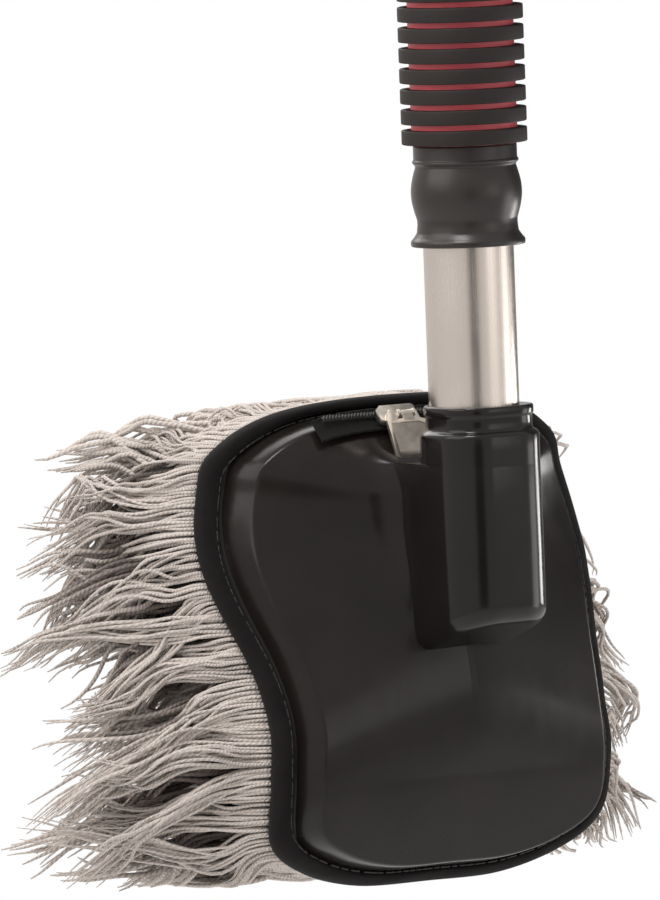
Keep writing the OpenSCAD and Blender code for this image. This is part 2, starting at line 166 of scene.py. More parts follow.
class Shader:
    """A material's node tree, with the few nodes that the looks below are made of."""

    def __init__(self, name, color, rough, **sockets):
        self.mat = bpy.data.materials.new(name)
        self.mat.use_nodes = True
        self.tree = self.mat.node_tree
        self.bsdf = self.tree.nodes["Principled BSDF"]
        self.set("Base Color", (*color, 1))
        self.set("Roughness", rough)
        for key, value in sockets.items():
            self.set(key.replace("_", " "), value)
        self.mat.diffuse_color = (*color, 1)

    def set(self, socket, value):
        self.bsdf.inputs[socket].default_value = value

    def node(self, kind, **values):
        n = self.tree.nodes.new(kind)
        for key, value in values.items():
            if key in n.inputs:
                n.inputs[key].default_value = value
            else:
                setattr(n, key, value)
        return n

    def link(self, a, b):
        self.tree.links.new(a, b)

    def drive(self, socket, value):
        self.link(value, self.bsdf.inputs[socket])

    def coords(self, kind="Object", scale=(1, 1, 1)):
        source = self.node("ShaderNodeTexCoord")
        mapping = self.node("ShaderNodeMapping")
        mapping.inputs["Scale"].default_value = scale
        self.link(source.outputs[kind], mapping.inputs["Vector"])
        return mapping.outputs["Vector"]

    def noise(self, vector, scale, detail=4.0, rough=0.55):
        n = self.node("ShaderNodeTexNoise", Scale=scale, Detail=detail, Roughness=rough)
        self.link(vector, n.inputs["Vector"])
        return n.outputs["Fac"]

    def wave(self, vector, scale, distortion=0.0, direction="X", profile="SIN"):
        n = self.node("ShaderNodeTexWave", Scale=scale, Distortion=distortion)
        n.bands_direction, n.wave_profile = direction, profile
        self.link(vector, n.inputs["Vector"])
        return n.outputs["Fac"]

    def ramp(self, value, stops):
        """A colour ramp with stops of (place, colour)."""
        n = self.node("ShaderNodeValToRGB")
        for _ in range(len(stops) - 2):
            n.color_ramp.elements.new(0.5)
        for element, (place, color) in zip(n.color_ramp.elements, stops):
            element.position = place
            element.color = (*color, 1) if len(color) == 3 else color
        self.link(value, n.inputs["Fac"])
        return n.outputs["Color"]

    def spread(self, value, low, high, start=0.0, end=1.0):
        """Maps start to end onto low to high."""
        n = self.node("ShaderNodeMapRange")
        for socket, limit in (("From Min", start), ("From Max", end), ("To Min", low), ("To Max", high)):
            n.inputs[socket].default_value = limit
        self.link(value, n.inputs["Value"])
        return n.outputs["Result"]

    def maths(self, operation, a, b):
        n = self.node("ShaderNodeMath", operation=operation)
        for i, v in enumerate((a, b)):
            if isinstance(v, (int, float)):
                n.inputs[i].default_value = v
            else:
                self.link(v, n.inputs[i])
        return n.outputs[0]

    def bump(self, height, strength, distance):
        n = self.node("ShaderNodeBump", Strength=strength, Distance=distance)
        self.link(height, n.inputs["Height"])
        self.link(n.outputs["Normal"], self.bsdf.inputs["Normal"])


def make_material(name, color, rough, **sockets):
    return Shader(name, color, rough, **sockets).mat


def tint(color, k):
    return tuple(c * k for c in color)


def gloss_plastic(name, color, rough=0.16, shine=0.36):
    """Moulded glossy plastic: slow waviness, fine handling haze and a few soft scuffs."""
    s = Shader(name, color, rough, Specular_IOR_Level=shine)
    v = s.coords()
    haze = s.noise(v, 45, 5)
    scuffs = s.noise(s.coords(scale=(1, 1, 0.25)), 260, 3)
    s.drive("Roughness", s.spread(s.maths("MULTIPLY", haze, scuffs), rough * 0.7, rough * 1.9))
    s.drive("Base Color", s.ramp(haze, [(0.3, tint(color, 0.85)), (0.75, tint(color, 1.25))]))
    s.bump(s.noise(v, 120, 2), 0.06, 0.0006)
    return s.mat


def satin_plastic(name, color, rough=0.42):
    """Moulded plastic with a fine spark-eroded grain."""
    s = Shader(name, color, rough)
    v = s.coords()
    s.drive("Roughness", s.spread(s.noise(v, 60, 4), rough - 0.08, rough + 0.12))
    s.drive("Base Color", s.ramp(s.noise(v, 22, 3), [(0.3, tint(color, 0.85)), (0.7, tint(color, 1.2))]))
    s.bump(s.noise(v, 2600, 2), 0.25, 0.00012)
    return s.mat


def grip_rubber(name, color):
    """Soft rubber: matt, with a fine pebble grain and dust in the hollows."""
    s = Shader(name, color, 0.62, Specular_IOR_Level=0.4)
    v = s.coords()
    dust = s.noise(v, 95, 6, 0.65)
    dusty = tuple(c * 1.7 + 0.01 for c in color)
    s.drive("Base Color", s.ramp(dust, [(0.35, tint(color, 0.75)), (0.62, color), (0.85, dusty)]))
    s.drive("Roughness", s.spread(dust, 0.5, 0.75))
    s.bump(s.noise(v, 1500, 3), 0.4, 0.0002)
    return s.mat


def brushed_steel(name, color, rough=0.27):
    """Drawn tube: fine lines along its length and slow cloudiness."""
    s = Shader(name, color, rough, Metallic=1.0)
    lines = s.noise(s.coords(scale=(1, 1, 0.012)), 2400, 3)
    cloud = s.noise(s.coords(), 30, 4)
    s.drive("Roughness", s.spread(s.maths("MULTIPLY", lines, cloud), rough - 0.08, rough + 0.22))
    s.drive("Base Color", s.ramp(cloud, [(0.3, tint(color, 0.93)), (0.7, color)]))
    s.bump(lines, 0.12, 0.00008)
    return s.mat


def cast_metal(name, color, rough=0.34):
    """Small die-cast metal parts with worn, brighter patches."""
    s = Shader(name, color, rough, Metallic=1.0)
    v = s.coords()
    wear = s.noise(v, 420, 5)
    s.drive("Roughness", s.spread(wear, rough - 0.12, rough + 0.16))
    s.drive("Base Color", s.ramp(wear, [(0.3, tint(color, 0.78)), (0.68, color)]))
    s.bump(s.noise(v, 1800, 3), 0.2, 0.00012)
    return s.mat


def woven_cloth(name, color, threads=1500, sheen=0.3):
    """Plain weave from two crossed waves, with uneven threads."""
    s = Shader(name, color, 0.88, Sheen_Weight=sheen, Specular_IOR_Level=0.2)
    v = s.coords()
    across, along = s.wave(v, threads, 0.6, "X"), s.wave(v, threads, 0.6, "Z")
    weave = s.maths("MAXIMUM", across, along)
    s.drive("Base Color", s.ramp(s.noise(v, 240, 4), [(0.3, tint(color, 0.7)), (0.7, tint(color, 1.3))]))
    s.bump(weave, 0.5, 0.00025)
    return s.mat


ROOT_SHADE = 6.0, 22.0                       # where the painted shade on a yarn's root part begins to lift, and where it ends


def cotton_yarn(name, color, shade, root=1.0):
    """Spun cotton: two plies twisted together, uneven in tone, with painted shade in the grooves between the
    plies and, where root is below 1, painted shade over the part nearest the root.
    """
    s = Shader(name, color, 0.92, Sheen_Weight=0.2, Specular_IOR_Level=0.15)
    uv = s.coords("UV")
    twist = s.wave(uv, 1.0, 0.8, "DIAGONAL")
    fibre = s.noise(s.coords(), 2200, 3)
    tone = s.noise(s.coords(), 38, 3)
    each = s.node("ShaderNodeNewGeometry").outputs["Random Per Island"]
    # the twist's bands darken the colour: painted shade in the grooves between the plies
    mixed = s.maths("MULTIPLY", s.spread(twist, 0.7, 1.0), s.spread(tone, 0.75, 1.15))
    mixed = s.maths("MULTIPLY", mixed, s.spread(each, 0.68, 1.08))
    # painted shade: the colour near the root is cut to root times itself and lifts to full over ROOT_SHADE
    if root < 1:
        along = s.node("ShaderNodeSeparateXYZ")
        s.link(uv, along.inputs[0])
        mixed = s.maths("MULTIPLY", mixed, s.spread(along.outputs["Y"], root, 1.0, *ROOT_SHADE))
    s.drive("Base Color", s.ramp(mixed, [(0.0, tint(shade, 0.2)), (0.3, shade), (0.62, color),
                                         (0.95, tint(color, 1.2))]))
    s.bump(s.maths("ADD", twist, s.maths("MULTIPLY", fibre, 0.5)), 0.6, 0.0004)
    return s.mat


def foam_material(name, color):
    """Open foam: small cells, with painted shade darkening their hollows."""
    s = Shader(name, color, 0.95, Specular_IOR_Level=0.1)
    v = s.coords()
    cells = s.node("ShaderNodeTexVoronoi", Scale=900.0)
    s.link(v, cells.inputs["Vector"])
    # painted shade: darker towards each cell's middle, where the bump makes its hollow
    s.drive("Base Color", s.ramp(cells.outputs["Distance"], [(0.0, tint(color, 0.6)), (0.5, color)]))
    s.bump(cells.outputs["Distance"], 0.6, 0.0006)
    return s.mat


BLACK_GLOSS = (0.009, 0.0075, 0.007)
MATERIALS = {
    "grip_black": grip_rubber("grip_rubber_black", (0.014, 0.009, 0.008)),
    "grip_red": satin_plastic("grip_rubber_red", (0.95, 0.13, 0.16), 0.38),
    "cap_black": satin_plastic("cap_plastic", (0.036, 0.028, 0.026)),
    "collar_black": satin_plastic("collar_plastic", (0.018, 0.014, 0.013), 0.3),
    "steel_satin": brushed_steel("tube_steel", (0.76, 0.685, 0.63)),
    "steel_hidden": brushed_steel("outer_tube_steel", (0.6, 0.56, 0.53), 0.32),
    "socket_gloss": gloss_plastic("socket_plastic", BLACK_GLOSS, 0.17),
    "shell_gloss": gloss_plastic("shell_plastic", (0.012, 0.0098, 0.009), 0.2, 0.27),
    "plastic_dark": satin_plastic("inner_plastic_dark", (0.05, 0.046, 0.044), 0.5),
    "plastic_grey": satin_plastic("inner_plastic_grey", (0.24, 0.23, 0.22)),
    "plastic_white": satin_plastic("inner_plastic_white", (0.7, 0.68, 0.64)),
    "screw_steel": cast_metal("screw_steel", (0.6, 0.58, 0.56)),
    "foam_grey": foam_material("foam", (0.3, 0.28, 0.27)),
    "backing_cloth": woven_cloth("backing_cloth", (0.05, 0.045, 0.042)),
    "binding_cloth": woven_cloth("binding_cloth", (0.006, 0.005, 0.005), 1100, 0.03),
    "zip_coil": satin_plastic("zip_coil", (0.02, 0.018, 0.018)),
    "zip_silver": cast_metal("zip_silver", (0.74, 0.69, 0.62)),
    "cotton_grey": cotton_yarn("cotton_yarn", (0.57, 0.515, 0.478), (0.2, 0.165, 0.15)),
    # a shaded copy of the cotton: a little darker, with painted shade over the part nearest the root
    "cotton_inner_painted_shade": cotton_yarn("cotton_yarn_inner_painted_shade", (0.55, 0.495, 0.458), (0.2, 0.165, 0.15), 0.1),
}
for part in frame["record"]["subparts"]:
    mesh = NODES[part["node"]].data
    mesh.materials.clear()
    mesh.materials.append(MATERIALS[part["material_slot"]])

build_world()
build_lights()
build_floor()

# ---------------------------------------------------------------- the head's shape, as in the CAD source

HALF_OUTLINE = [(0, 0), (0.352, 0.003), (0.638, 0.038), (0.836, 0.104), (0.866, 0.23), (0.854, 0.355),
                (0.886, 0.475), (0.952, 0.6), (0.974, 0.705), (0.931, 0.828), (0.86, 0.91), (0.55, 0.981),
                (0, 1)]
RIM_MID, RIM_WAVE, RIM_TURN, RIM_FRONT_Z = 36, 12.5, 2.25, 42  # the rim's wave, in mm and degrees per mm
RIM_TUCK, TUCK_BELOW = 0.0004, 120           # below this height the rim also draws forward, by the square
SPINE_LOW, SPINE_TOP = 40, 112               # loops shrink towards the spine between these heights
SPINE_MID = (SPINE_LOW + SPINE_TOP) / 2
FLANGE_K, WALL_K, WALL_RISE = 0.92, 0.85, 10
CROWN_MIN, CROWN_LOW, CROWN_GAIN = 3, 5, 0.26
SHELL_WALL, SHELL_STEP = 2, 0.03             # the shell's thickness in mm, and its inside's inset as a share


def rim_y(z):
    return (RIM_MID - RIM_WAVE * np.cos(np.radians(RIM_TURN * (z - RIM_FRONT_Z)))
            - RIM_TUCK * np.maximum(0, TUCK_BELOW - z) ** 2)


def ease(t):
    u = np.clip(t, 0, 1)
    return u * u * (3 - 2 * u)


def crown(z):
    return np.maximum(CROWN_MIN, CROWN_LOW + CROWN_GAIN * (z - SPINE_LOW))


def dome(k, z):
    """How far the shell stands forward of its rim, at a share k of the way out from the spine."""
    return (WALL_RISE * ease((FLANGE_K - k) / (FLANGE_K - WALL_K))
            + crown(z) * (1 - np.minimum(k / 0.9, 1) ** 1.3))


def rim_outline(steps):
    """The rim's closed outline in X and Z, from the lowest point and up the +X side, in mm."""
    corners = np.array(HALF_OUTLINE + [(-x, z) for x, z in HALF_OUTLINE[-2:0:-1]], float)
    t = np.arange(steps)[None, :, None] / steps
    a, b, c, d = (np.roll(corners, r, 0)[:, None, :] for r in (1, 0, -1, -2))
    p = 0.5 * (2 * b + (c - a) * t + (2 * a - 5 * b + 4 * c - d) * t ** 2 + (3 * b - a - 3 * c + d) * t ** 3)
    return p.reshape(-1, 2) * (HEAD_W / 2, HEAD_H) + (0, HEAD_LOW)


def loop(outline, k, back, dome_k=1.0):
    """One closed loop of the head's surface: the outline shrunk to k, back mm behind the rim."""
    x, z0 = outline[:, 0] * k, outline[:, 1]
    mid = np.clip(z0, SPINE_LOW, SPINE_TOP)
    z = mid + (z0 - mid) * k
    return np.stack([x, rim_y(z) - dome(dome_k, z) + back, z], -1)


def swept_loops(outline, section):
    return [loop(outline, k, back) for k, back in section]


def to_frame(points):
    """From mm above the head's lowest point to metres in the row frame."""
    return np.asarray(points, float) * MM + (0, 0, HEAD_Z)


# ---------------------------------------------------------------- mesh helpers

def mesh_piece(name, verts, faces, material, body, replaces=(), smooth_angle=40):
    mesh = bpy.data.meshes.new(name)
    mesh.from_pydata([tuple(v) for v in verts], [], faces)
    mesh.validate()
    piece = bpy.data.objects.new(name, mesh)
    bpy.context.scene.collection.objects.link(piece)
    return dress(piece, material, body, replaces, smooth_angle)


def dress(piece, material, body, replaces=(), smooth_angle=40):
    piece.data.materials.clear()
    piece.data.materials.append(MATERIALS[material])
    piece.data.polygons.foreach_set("use_smooth", [True] * len(piece.data.polygons))
    if smooth_angle:
        piece.data.set_sharp_from_angle(angle=math.radians(smooth_angle))
    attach(piece, body)
    if replaces:
        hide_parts(*replaces)
    return piece


def loops_to_faces(count, n, closed):
    """Quads between loops of n points each; closed joins the last loop to the first."""
    faces = []
    for r in range(count if closed else count - 1):
        q = (r + 1) % count
        faces += [(r * n + i, q * n + i, q * n + (i + 1) % n, r * n + (i + 1) % n) for i in range(n)]
    return faces


def straight_caps(n, offset, flip):
    """Closes a loop straight across, from its right side to its left."""
    faces = [(0, 1, n - 1)] + [(i, i + 1, n - i - 1, n - i) for i in range(1, n // 2 - 1)]
    faces.append((n // 2 - 1, n // 2, n // 2 + 1))
    return [tuple(offset + i for i in (f[::-1] if flip else f)) for f in faces]


def rounded_profile(corners, radius, steps=4):
    """Rounds the corners of a closed (r, z) profile."""
    out = []
    for i, p in enumerate(corners):
        a, b, c = Vector(corners[i - 1]), Vector(p), Vector(corners[(i + 1) % len(corners)])
        cut = min(radius, (a - b).length * 0.45, (c - b).length * 0.45)
        if b.x < 1e-6 or cut < 1e-6:
            out.append(tuple(b))
            continue
        start, end = b + (a - b).normalized() * cut, b + (c - b).normalized() * cut
        for s in range(steps + 1):
            t = s / steps
            out.append(tuple(start * (1 - t) ** 2 + b * 2 * t * (1 - t) + end * t * t))
    return out


def lathe(name, profile, material, body, replaces=(), n=128, smooth_angle=35):
    """Turns a closed (r, z) profile in mm round the handle's axis."""
    angles = np.linspace(0, 2 * math.pi, n, endpoint=False)
    loops = [np.stack([r * np.cos(angles), r * np.sin(angles), np.full(n, z)], -1) for r, z in profile]
    verts = to_frame(np.concatenate(loops))
    faces = loops_to_faces(len(profile), n, True)
    return mesh_piece(name, verts, faces, material, body, replaces, smooth_angle)


# ---------------------------------------------------------------- head shell

SOCKET_W, SOCKET_FRONT, SOCKET_CORNER = 17, 18.5, 13
WEB_TOP, MOUTH_Z, FRONT_END_Z, END_SLOPE = 127, 144, 80, math.tan(math.radians(19))
BACK_Y, BACK_Z, BACK_SLOPE = 24, 69, math.tan(math.radians(14))
END_ROUND = 4.6                              # radius of the slanted end's edge
FILLET, FILLET_REACH, FILLET_FADE = 3.5, 8, 24  # the shell's swell at the socket: height, width, fade
MOUTH_R, TUBE_FIT_R = 14.15, 13.66


def fillet(x, z):
    """How far the shell swells forward where the socket's sides run into it."""
    low = FRONT_END_Z - (SOCKET_FRONT + 10) * END_SLOPE
    away = np.hypot(np.maximum(np.abs(x) - SOCKET_W, 0), np.maximum(z - WEB_TOP, 0))
    return FILLET * (1 - np.minimum(away / FILLET_REACH, 1)) ** 2.0 * ease((z - low - 2) / FILLET_FADE)


def build_shell():
    outline = rim_outline(9)
    n = len(outline)
    ks = np.concatenate([np.linspace(0.02, 0.8, 64), np.linspace(0.812, 0.935, 15),
                         [0.955, 0.98, 0.992, 1.0]])
    loops = [loop(outline, k, 0, k) for k in ks]
    for p in loops:
        p[:, 1] -= fillet(p[:, 0], p[:, 2])
    loops += [loop(outline, 1.0, SHELL_WALL)]
    loops += [loop(outline, k - SHELL_STEP * min(1, k / 0.5), SHELL_WALL, k)
              for k in (0.92, 0.885, 0.85, 0.77, 0.65, 0.5, 0.35, 0.2, 0.08)]
    verts = to_frame(np.concatenate(loops))
    faces = [f[::-1] for f in loops_to_faces(len(loops), n, False)]
    faces += straight_caps(n, 0, False) + straight_caps(n, (len(loops) - 1) * n, True)
    return mesh_piece("head_cover", verts, faces, "shell_gloss", LOWER, ["head_shell"], 60)


# ---------------------------------------------------------------- handle socket

def ring_ways(n):
    """n unit directions round the axis, none of them straight along X or Y."""
    angle = np.linspace(0, 2 * math.pi, n, endpoint=False) + 0.5 * math.pi / n
    return np.stack([np.cos(angle), np.sin(angle)], -1)


def socket_shape(grow, back=None, n=144):
    """The socket from above, as one contact point for each direction; back adds the web's square back."""
    circles = [((0, 0), SOCKET_W), ((SOCKET_W - SOCKET_CORNER, SOCKET_CORNER - SOCKET_FRONT), SOCKET_CORNER),
               ((SOCKET_CORNER - SOCKET_W, SOCKET_CORNER - SOCKET_FRONT), SOCKET_CORNER)]
    if back is not None:
        inset = min(grow, 0)
        circles += [((SOCKET_W - 0.5 + inset, back), 0.5 - inset),
                    ((0.5 - SOCKET_W - inset, back), 0.5 - inset)]
    way = ring_ways(n)
    centres, radii = (np.array(part) for part in zip(*circles))
    best = np.stack([way @ c + r + grow for c, r in zip(centres, radii)], -1).argmax(1)
    return centres[best] + way * (radii[best] + grow)[:, None]


def build_socket():
    n = 144
    loops = []
    for turn in np.radians(np.linspace(0, 90, 9)):   # the slanted end's rounded edge
        grow, lift = END_ROUND * (math.sin(turn) - 1), END_ROUND * (1 - math.cos(turn))
        xy = socket_shape(grow, 27.5)
        loops.append(np.column_stack([xy, FRONT_END_Z - (xy[:, 1] + SOCKET_FRONT) * END_SLOPE + lift]))
    for z, grow in ((86, 0), (100, 0), (115, -0.1), (126, -0.19), (126.6, -0.25), (126.95, -0.5),
                    (WEB_TOP, -1.2)):
        xy = socket_shape(grow, BACK_Y + (z - BACK_Z) * BACK_SLOPE)
        loops.append(np.column_stack([xy, np.full(n, float(z))]))
    lower = np.concatenate(loops)
    faces = loops_to_faces(len(loops), n, False)
    faces += [tuple(range(n - 1, -1, -1)), tuple(range(len(lower) - n, len(lower)))]
    steps = [(125.5, -0.2), (131, -0.2), (134.9, -0.2), (135.4, -0.3), (135.9, -0.62), (136.25, -1.1),
             (136.55, -1.65), (137, -2.05), (137.5, -2.2), (140.5, -2.2), (140.9, -2.1), (141.3, -1.8),
             (141.7, -1.7), (143.3, -1.7), (143.7, -1.8), (143.95, -2.0), (MOUTH_Z, -2.25)]
    upper = [np.column_stack([socket_shape(g), np.full(n, float(z))]) for z, g in steps]
    upper += [np.column_stack([ring_ways(n) * r, np.full(n, float(z))])
              for r, z in ((MOUTH_R, MOUTH_Z), (13.85, 143.85), (TUBE_FIT_R, 143.4), (TUBE_FIT_R, 130),
                           (TUBE_FIT_R, 126))]
    start = len(lower)
    verts = to_frame(np.concatenate([lower] + upper))
    faces += [tuple(start + i for i in f) for f in loops_to_faces(len(upper), n, False)]
    faces += [tuple(start + i for i in range(n - 1, -1, -1)),
              tuple(start + (len(upper) - 1) * n + i for i in range(n))]
    return mesh_piece("socket_body", verts, faces, "socket_gloss", LOWER,
                      ["handle_socket"], 50)


# ---------------------------------------------------------------- handle

COLLAR_LOW, COLLAR_H, BARREL_R = 192, 30.4, 16.7
RINGS, GRIP_LOW, RING_PITCH, RING_H, RING_R, RING_BORE = 20, 222.6, 6.15, 4.6, 18.9, 15.99


def refined(node, name, bevel, body, angle=30, segments=2, smooth_angle=40):
    """A copy of a CAD node with softened edges, which stands for the node."""
    source = NODES[node]
    mesh = source.data.copy()
    bm = bmesh.new()
    bm.from_mesh(mesh)
    bmesh.ops.remove_doubles(bm, verts=bm.verts, dist=1e-6)
    bmesh.ops.dissolve_limit(bm, angle_limit=math.radians(1), verts=bm.verts, edges=bm.edges)
    bm.to_mesh(mesh)
    bm.free()
    piece = bpy.data.objects.new(name, mesh)
    bpy.context.scene.collection.objects.link(piece)
    soften = piece.modifiers.new("soften", "BEVEL")
    soften.width, soften.segments, soften.limit_method = bevel * MM, segments, "ANGLE"
    soften.angle_limit = math.radians(angle)
    bake(piece)
    slot = next(p["material_slot"] for p in frame["record"]["subparts"] if p["node"] == node)
    return dress(piece, slot, body, [node], smooth_angle)


def bake(piece):
    """Applies a piece's modifiers."""
    graph = bpy.context.evaluated_depsgraph_get()
    baked = bpy.data.meshes.new_from_object(piece.evaluated_get(graph))
    piece.modifiers.clear()
    piece.data = baked


def build_handle():
    for i in range(RINGS):
        low = GRIP_LOW + i * RING_PITCH
        profile = rounded_profile([(RING_BORE, low), (RING_R, low + 0.1), (RING_R, low + RING_H - 0.1),
                                   (RING_BORE, low + RING_H)], 0.45, 3)
        lathe(f"ring_{i + 1:02d}", profile, "grip_black", "outer_handle",
              [f"grip_ring_{i + 1:02d}"], 96)
    outer = [(17.0, 0), (17.2, 0.5), (17.2, 1.6), (16.3, 2.6), (15.3, 4.1), (15.05, 6.5)]
    outer += [(15.1 + (BARREL_R - 15.1) * math.cos(math.radians(a * 1.5)), 16 + 8 * a / 60)
              for a in range(-60, 61, 6)]
    outer += [(15.5, 24.6), (16.0, 25.0), (16.0, 25.6), (15.6, 26.0), (15.6, COLLAR_H - 0.4),
              (15.3, COLLAR_H), (14.66, COLLAR_H), (14.66, 24.4), (15.08, 24.4), (15.08, 10.6), (13.82, 10.6),
              (13.82, 2.6), (15.0, 2.6), (15.0, 0)]
    lathe("twist_collar", [(r, z + COLLAR_LOW) for r, z in rounded_profile(outer, 0.35, 2)], "collar_black",
          "collar", ["lock_collar"], 128, 30)
    refined("end_cap", "cap_with_hole", 0.7, "outer_handle", 35, 3)


# ---------------------------------------------------------------- cover's edge, zip and cloth

STITCHES, STITCH_K, STITCH_OUT = 210, 0.955, 1.75  # their number, place across the binding and height on it


def build_binding():
    outline = rim_outline(8)
    n = len(outline)
    section = [(0.926, -0.15), (0.928, -0.9), (0.934, -1.45), (0.946, -1.75), (0.962, -1.8), (0.981, -1.55),
               (0.997, -1.05), (1.01, -0.2), (1.017, 0.9), (1.02, 2.2), (1.019, 3.4), (1.013, 4.5),
               (1.0, 5.1), (0.985, 5.2), (0.985, 4.6), (0.998, 4.2), (1.004, 3.2), (1.004, -0.15)]
    loops = swept_loops(outline, section)
    place = np.linspace(0, 2 * math.pi, n, endpoint=False)
    for i in range(3, 13):                       # the cloth puckers a little along its stitches
        stitched = 0.10 * np.sin(place * 96 + i * 0.3) if i < 7 else 0
        loops[i][:, 1] -= stitched + 0.12 * np.sin(place * 23 + i)
    verts = to_frame(np.concatenate(loops))
    faces = loops_to_faces(len(loops), n, True)
    mesh_piece("cover_edge", verts, faces, "binding_cloth", LOWER, ["cover_binding"], 70)
    centre, out, _ = perimeter(outline, STITCHES, np.random.RandomState(3))
    verts, faces = [], []
    for (x, z), (ox, oz) in zip(centre, out):
        mid = np.array([x * STITCH_K, 0, SPINE_MID + (z - SPINE_MID) * STITCH_K])
        mid[1] = rim_y(mid[2]) - STITCH_OUT
        along = np.array([-oz, 0, ox])
        along[1] = (rim_y(mid[2] + along[2]) - rim_y(mid[2]))
        add_pellet(verts, faces, mid, along / np.linalg.norm(along), 1.15, 0.26)
    mesh_piece("edge_stitches", to_frame(verts), faces, "zip_coil", LOWER, [], 60)


def add_pellet(verts, faces, mid, along, half, radius, sides=6):
    """A small rounded thread or tooth: a six-sided tube that closes to a point at each end."""
    helper = np.array([0.0, 1.0, 0.0]) if abs(along[1]) < 0.8 else np.array([1.0, 0.0, 0.0])
    side = np.cross(along, helper)
    side /= np.linalg.norm(side)
    up = np.cross(along, side)
    start = len(verts)
    turns = [2 * math.pi * i / sides for i in range(sides)]
    verts.append(mid - along * half)
    for step, size in ((-0.8, 0.7), (-0.3, 1.0), (0.3, 1.0), (0.8, 0.7)):
        verts.extend(mid + along * half * step + (side * math.cos(t) + up * math.sin(t)) * radius * size
                     for t in turns)
    verts.append(mid + along * half)
    for i in range(sides):
        j = (i + 1) % sides
        faces.append((start, start + 1 + j, start + 1 + i))
        for r in range(3):
            a = start + 1 + r * sides
            faces.append((a + i, a + j, a + sides + j, a + sides + i))
        a = start + 1 + 3 * sides
        faces.append((a + i, a + j, start + 1 + 4 * sides))


ZIP_FOOT, ZIP_SLOPE = (32.5, 139.6), math.radians(43.8)
ZIP_FROM, ZIP_TO, CHAIN_LIFT, TOOTH_PITCH = -34, 15, 2.0, 1.15
PULL_AT, PULL_LEAN = (-6.2, 26.956, 140.898), 24.6  # the pull's hinge, and how far it leans on the head


def on_slope(x, lift, up):
    """A point at x along the zip, lift away from the head's slope and up along it, in mm."""
    return np.array([x, ZIP_FOOT[0] - lift * math.cos(ZIP_SLOPE) + up * math.sin(ZIP_SLOPE),
                     ZIP_FOOT[1] + lift * math.sin(ZIP_SLOPE) + up * math.cos(ZIP_SLOPE)])


def build_zip():
    stations = np.linspace(ZIP_FROM - 2, ZIP_TO, 90)
    section = [(0.4, -5.2), (0.95, -5.25), (1.2, -4.9), (1.0, -4.4), (0.95, -1.4), (1.05, -0.9), (1.05, 0.9),
               (0.95, 1.4), (1.0, 2.3), (1.25, 2.8), (0.95, 3.1), (0.4, 3.05)]
    loops = []
    for x in stations:
        dip = np.array([0, 0, 1.2 * (x / 31) ** 4])
        wave = 0.10 * math.sin(x * 1.7) + 0.07 * math.sin(x * 4.1 + 1)
        loops.append(np.array([on_slope(x, lift, up + wave * (abs(up) > 1)) - dip for lift, up in section]))
    n = len(section)
    faces = loops_to_faces(len(loops), n, False)
    faces += [tuple(range(n - 1, -1, -1)), tuple((len(loops) - 1) * n + i for i in range(n))]
    mesh_piece("zip_band", to_frame(np.concatenate(loops)), [f[::-1] for f in faces], "binding_cloth", LOWER,
               ["zip_tape"], 50)
    verts, faces = [], []
    for i in range(int((ZIP_TO - ZIP_FROM - 0.6) / TOOTH_PITCH)):
        x = ZIP_FROM + 0.5 + i * TOOTH_PITCH
        for way in (-1, 1):
            lean = np.array([0.35 * way, 0, 0]) + (on_slope(0, 0, way) - on_slope(0, 0, 0))
            add_pellet(verts, faces, on_slope(x + (0.28 if way > 0 else -0.28), CHAIN_LIFT + 0.1, way * 0.32),
                       lean / np.linalg.norm(lean), 0.62, 0.36)
    for way in (-1, 1):
        row = [on_slope(x, CHAIN_LIFT - 0.45, way * 0.62) for x in np.linspace(ZIP_FROM, ZIP_TO, 30)]
        for a, b in zip(row[:-1], row[1:]):
            add_pellet(verts, faces, (a + b) / 2, (b - a) / np.linalg.norm(b - a), 1.05, 0.22)
    mesh_piece("zip_teeth", to_frame(verts), faces, "zip_coil", LOWER, ["zip_chain"], 60)
    refined("zip_slider_body", "zip_slider_cast", 0.35, "zip_slider", 40)
    refined("zip_pull_tab", "zip_pull_cast", 0.25, "zip_pull", 40)
    build_knuckle()


def build_knuckle():
    """The pull's eye round its pin, between the slider's lugs."""
    arc = np.radians(np.linspace(-30, 210, 13))
    section = np.vstack([np.stack([np.cos(arc), np.sin(arc)], -1), [(-0.6, -2.5), (0.6, -2.5)]])
    turn = math.radians(-PULL_LEAN)
    loops = []
    for x, size in ((-1.95, 0.85), (-1.8, 1.0), (1.8, 1.0), (1.95, 0.85)):
        y, z = section[:, 0] * size * 1.05, section[:, 1] * size * 1.05
        loops.append(np.stack([np.full(len(y), PULL_AT[0] + x),
                               PULL_AT[1] + y * math.cos(turn) - z * math.sin(turn),
                               PULL_AT[2] + y * math.sin(turn) + z * math.cos(turn)], -1))
    n = len(section)
    faces = loops_to_faces(len(loops), n, False) + [tuple(range(n - 1, -1, -1)), tuple(range(3 * n, 4 * n))]
    mesh_piece("pull_knuckle", to_frame(np.concatenate(loops)), faces, "zip_silver", "zip_pull",
               [], 40)


FOAM_BACK = 5.4                              # the foam's flat front, behind the rim


